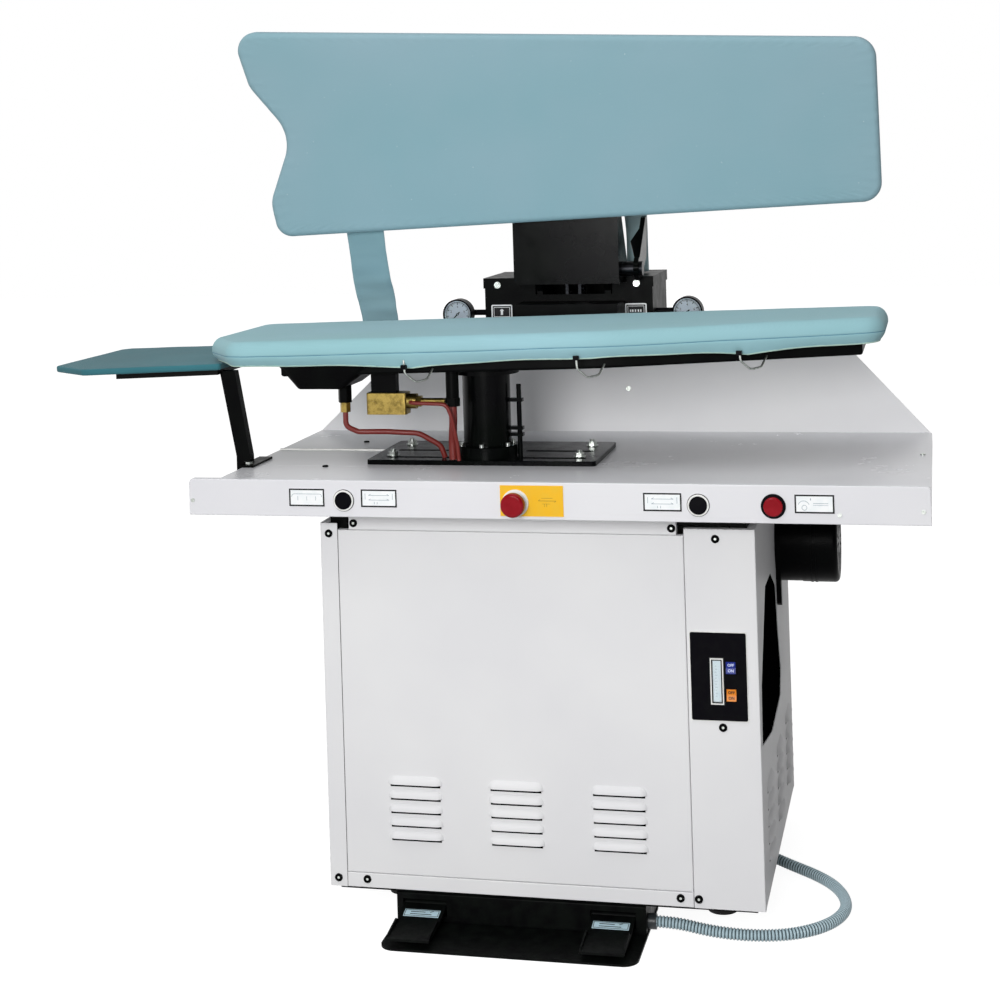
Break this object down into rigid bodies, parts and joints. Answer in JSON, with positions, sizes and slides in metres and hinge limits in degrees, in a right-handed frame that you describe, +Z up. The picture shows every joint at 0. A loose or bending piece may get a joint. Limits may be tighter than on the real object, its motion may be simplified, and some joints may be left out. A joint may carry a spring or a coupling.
{
  "type": "ironing press",
  "caption": "Free-standing pneumatic ironing press with a raised padded head, a padded buck on a column, a work table, a cabinet and foot pedals.",
  "frame": {"origin": "on the floor, below the middle of the cabinet", "axes": "+X to the operator's right, +Y to the back, +Z up"},
  "size_m": [1.6469, 0.9674, 1.5905],
  "materials": {
    "sheet": "satin powder coat",
    "table": "gloss powder coat",
    "frame": "satin paint",
    "black_paint": "gloss paint",
    "chest": "cast and machined",
    "motor": "satin paint",
    "fan": "cast",
    "boiler_steel": "rolled and welded",
    "black_plastic": "moulded",
    "blue_plastic": "moulded",
    "orange_plastic": "moulded",
    "red_plastic": "moulded",
    "yellow_plastic": "moulded",
    "dial": "printed",
    "glass": "clear",
    "brass": "machined",
    "copper": "drawn tube",
    "hose": "braided",
    "steel": "turned and plated",
    "aluminium": "extruded",
    "rubber": "moulded",
    "cover": "woven polyester",
    "shelf_cloth": "woven polyester",
    "duct": "woven polyester",
    "conduit": "ribbed",
    "gland": "moulded"
  },
  "bodies": {
    "cabinet": {"back_panel": "sheet", "base_frame": "frame", "base_plate": "black_paint", "blower_scroll": "black_paint", "boiler": "boiler_steel", "brass_valve": "brass", "buck_pad": "cover", "buck_pan": "chest", "button_rings": "black_plastic", "cloth_ducts": "duct", "column": "black_paint", "conduit": "conduit", "conduit_glands": "gland", "control_plate": "black_plastic", "copper_tube": "copper", "cover_hooks": "steel", "cylinder_barrel": "aluminium", "estop_plate": "yellow_plastic", "frame_uprights": "frame", "front_panel": "sheet", "front_rails": "sheet", "gauge_cases": "black_plastic", "gauge_dials": "dial", "glass_covers": "glass", "hinge_frame": "frame", "housing_lid": "sheet", "label_plates": "dial", "left_side_panel": "sheet", "level_frame": "black_plastic", "levelling_feet": "rubber", "motor_body": "motor", "motor_cowl": "motor", "pedal_base": "black_paint", "rear_housing": "sheet", "red_hoses": "hose", "right_column_cover": "sheet", "right_side_panel": "sheet", "shelf_board": "shelf_cloth", "shelf_leg": "frame", "side_pipe": "steel", "steel_fasteners": "steel", "table_backsplash": "sheet", "table_top": "table"},
    "head": {"head_arm": "black_paint", "head_chest": "chest", "head_pad": "cover", "side_lever": "black_paint", "hinge_shaft": "steel"},
    "cylinder_rod": {"piston_rod": "steel"},
    "estop_cap": {"estop_cap": "red_plastic"},
    "left_start_button": {"left_start_button": "black_plastic"},
    "right_start_button": {"right_start_button": "black_plastic"},
    "release_button": {"release_button": "red_plastic"},
    "blue_rocker": {"blue_rocker": "blue_plastic"},
    "orange_rocker": {"orange_rocker": "orange_plastic"},
    "left_pedal": {"left_pedal": "black_paint"},
    "right_pedal": {"right_pedal": "black_paint"},
    "left_gauge_needle": {"left_gauge_needle": "black_plastic"},
    "right_gauge_needle": {"right_gauge_needle": "black_plastic"},
    "fan_rotor": {"fan_rotor": "fan"}
  },
  "joints": [
    {"name": "head_hinge", "type": "hinge", "parent": "cabinet", "child": "head", "pos_m": [0, 0.318, 1.088], "axis": [1, 0, 0], "range_deg": [0, 82], "stiffness_Nm_per_rad": 70, "springref_deg": -74.48, "deforming": ["cloth_ducts"]},
    {"name": "rod_slide", "type": "slide", "parent": "cabinet", "child": "cylinder_rod", "axis": [0, 0, 1], "range_m": [0, 0.0979]},
    {"name": "estop_press", "type": "slide", "parent": "cabinet", "child": "estop_cap", "axis": [0, 1, 0], "range_m": [0, 0.004]},
    {"name": "left_start_press", "type": "slide", "parent": "cabinet", "child": "left_start_button", "axis": [0, 1, 0], "range_m": [0, 0.0018], "stiffness_N_per_m": 400, "springref_m": -0.003},
    {"name": "right_start_press", "type": "slide", "parent": "cabinet", "child": "right_start_button", "axis": [0, 1, 0], "range_m": [0, 0.0018], "stiffness_N_per_m": 400, "springref_m": -0.003},
    {"name": "release_press", "type": "slide", "parent": "cabinet", "child": "release_button", "axis": [0, 1, 0], "range_m": [0, 0.003], "stiffness_N_per_m": 400, "springref_m": -0.003},
    {"name": "blue_rocker_tilt", "type": "hinge", "parent": "cabinet", "child": "blue_rocker", "pos_m": [0.332, -0.314, 0.4635], "axis": [1, 0, 0], "range_deg": [0, 16]},
    {"name": "orange_rocker_tilt", "type": "hinge", "parent": "cabinet", "child": "orange_rocker", "pos_m": [0.332, -0.314, 0.418], "axis": [1, 0, 0], "range_deg": [0, 16]},
    {"name": "left_pedal_press", "type": "hinge", "parent": "cabinet", "child": "left_pedal", "pos_m": [-0.212, -0.288, 0.028], "axis": [1, 0, 0], "range_deg": [0, 4], "stiffness_Nm_per_rad": 8, "springref_deg": -8.59},
    {"name": "right_pedal_press", "type": "hinge", "parent": "cabinet", "child": "right_pedal", "pos_m": [0.118, -0.288, 0.028], "axis": [1, 0, 0], "range_deg": [0, 4], "stiffness_Nm_per_rad": 8, "springref_deg": -8.59},
    {"name": "left_gauge_turn", "type": "hinge", "parent": "cabinet", "child": "left_gauge_needle", "pos_m": [-0.291, 0.352, 0.997], "axis": [0, 1, 0], "range_deg": [0, 270], "stiffness_Nm_per_rad": 0.0005, "springref_deg": -11.46},
    {"name": "right_gauge_turn", "type": "hinge", "parent": "cabinet", "child": "right_gauge_needle", "pos_m": [0.189, 0.352, 0.997], "axis": [0, 1, 0], "range_deg": [0, 270], "stiffness_Nm_per_rad": 0.0005, "springref_deg": -11.46},
    {"name": "fan_spin", "type": "hinge", "parent": "cabinet", "child": "fan_rotor", "pos_m": [0.4, 0.11, 0.59], "axis": [1, 0, 0], "continuous": true}
  ],
  "couplings": [
    {"joint": "rod_slide", "follows": "head_hinge", "m_per_rad": 0.068384}
  ]
}
